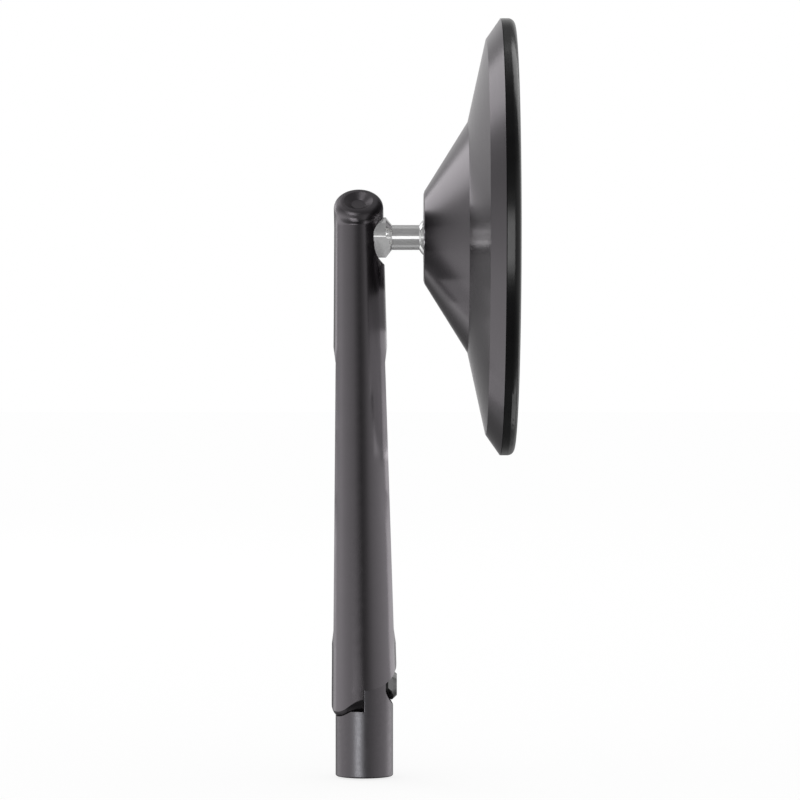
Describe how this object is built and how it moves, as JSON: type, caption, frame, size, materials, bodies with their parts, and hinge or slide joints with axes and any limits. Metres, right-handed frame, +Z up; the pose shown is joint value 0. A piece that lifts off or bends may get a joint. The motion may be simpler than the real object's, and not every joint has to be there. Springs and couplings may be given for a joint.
{
  "type": "motorcycle bar end mirror",
  "caption": "Round convex mirror in a conical turned housing, on a ball stud and a tapered arm with a bent nose, folding on a small foot that bolts to a handlebar end.",
  "frame": {"origin": "mouth of the thread in the stub's foot, on the stub's axis", "axes": "+Z up the stub towards the arm, +X towards the side that the glass faces, -Y towards the side that the arm's nose bends to"},
  "size_m": [0.0365, 0.0872, 0.1512],
  "materials": {
    "black_anodised": "satin black anodised",
    "bright_steel": "polished",
    "black_steel": "black oxide, glossy",
    "spring_steel": "plain",
    "plain_aluminium": "machined",
    "natural_polymer": "moulded",
    "foam_tape": "closed-cell foam",
    "mirror": "silvered glass",
    "gloss_black": "gloss"
  },
  "bodies": {
    "stub": {"pivot_stub": "black_anodised", "friction_washer": "natural_polymer"},
    "arm": {"arm": "black_anodised", "pivot_screw": "black_steel", "pivot_washer": "black_steel", "ball_stud": "bright_steel"},
    "ball_liner": {"ball_liner": "natural_polymer"},
    "pressure_cup": {"pressure_cup": "natural_polymer"},
    "head": {"head_housing": "black_anodised", "rear_disc_spring": "spring_steel", "front_disc_spring": "spring_steel", "gland_ring": "plain_aluminium", "glass_tape": "foam_tape", "mirror_glass": "mirror", "rim_ring": "gloss_black"}
  },
  "joints": [
    {"name": "arm_fold", "type": "hinge", "parent": "stub", "child": "arm", "pos_m": [0, 0, 0.01824], "axis": [-1, 0, 0], "range_deg": [-10, 50]},
    {"name": "head_pan", "type": "hinge", "parent": "arm", "child": "ball_liner", "pos_m": [0.0153, 0, 0.1076], "axis": [0, 0, 1], "range_deg": [-15, 15]},
    {"name": "head_tilt", "type": "hinge", "parent": "ball_liner", "child": "pressure_cup", "pos_m": [0.0153, 0, 0.1076], "axis": [0, 1, 0], "range_deg": [-15, 15]},
    {"name": "head_spin", "type": "hinge", "parent": "pressure_cup", "child": "head", "pos_m": [0.0153, 0, 0.1076], "axis": [1, 0, 0], "continuous": true}
  ]
}
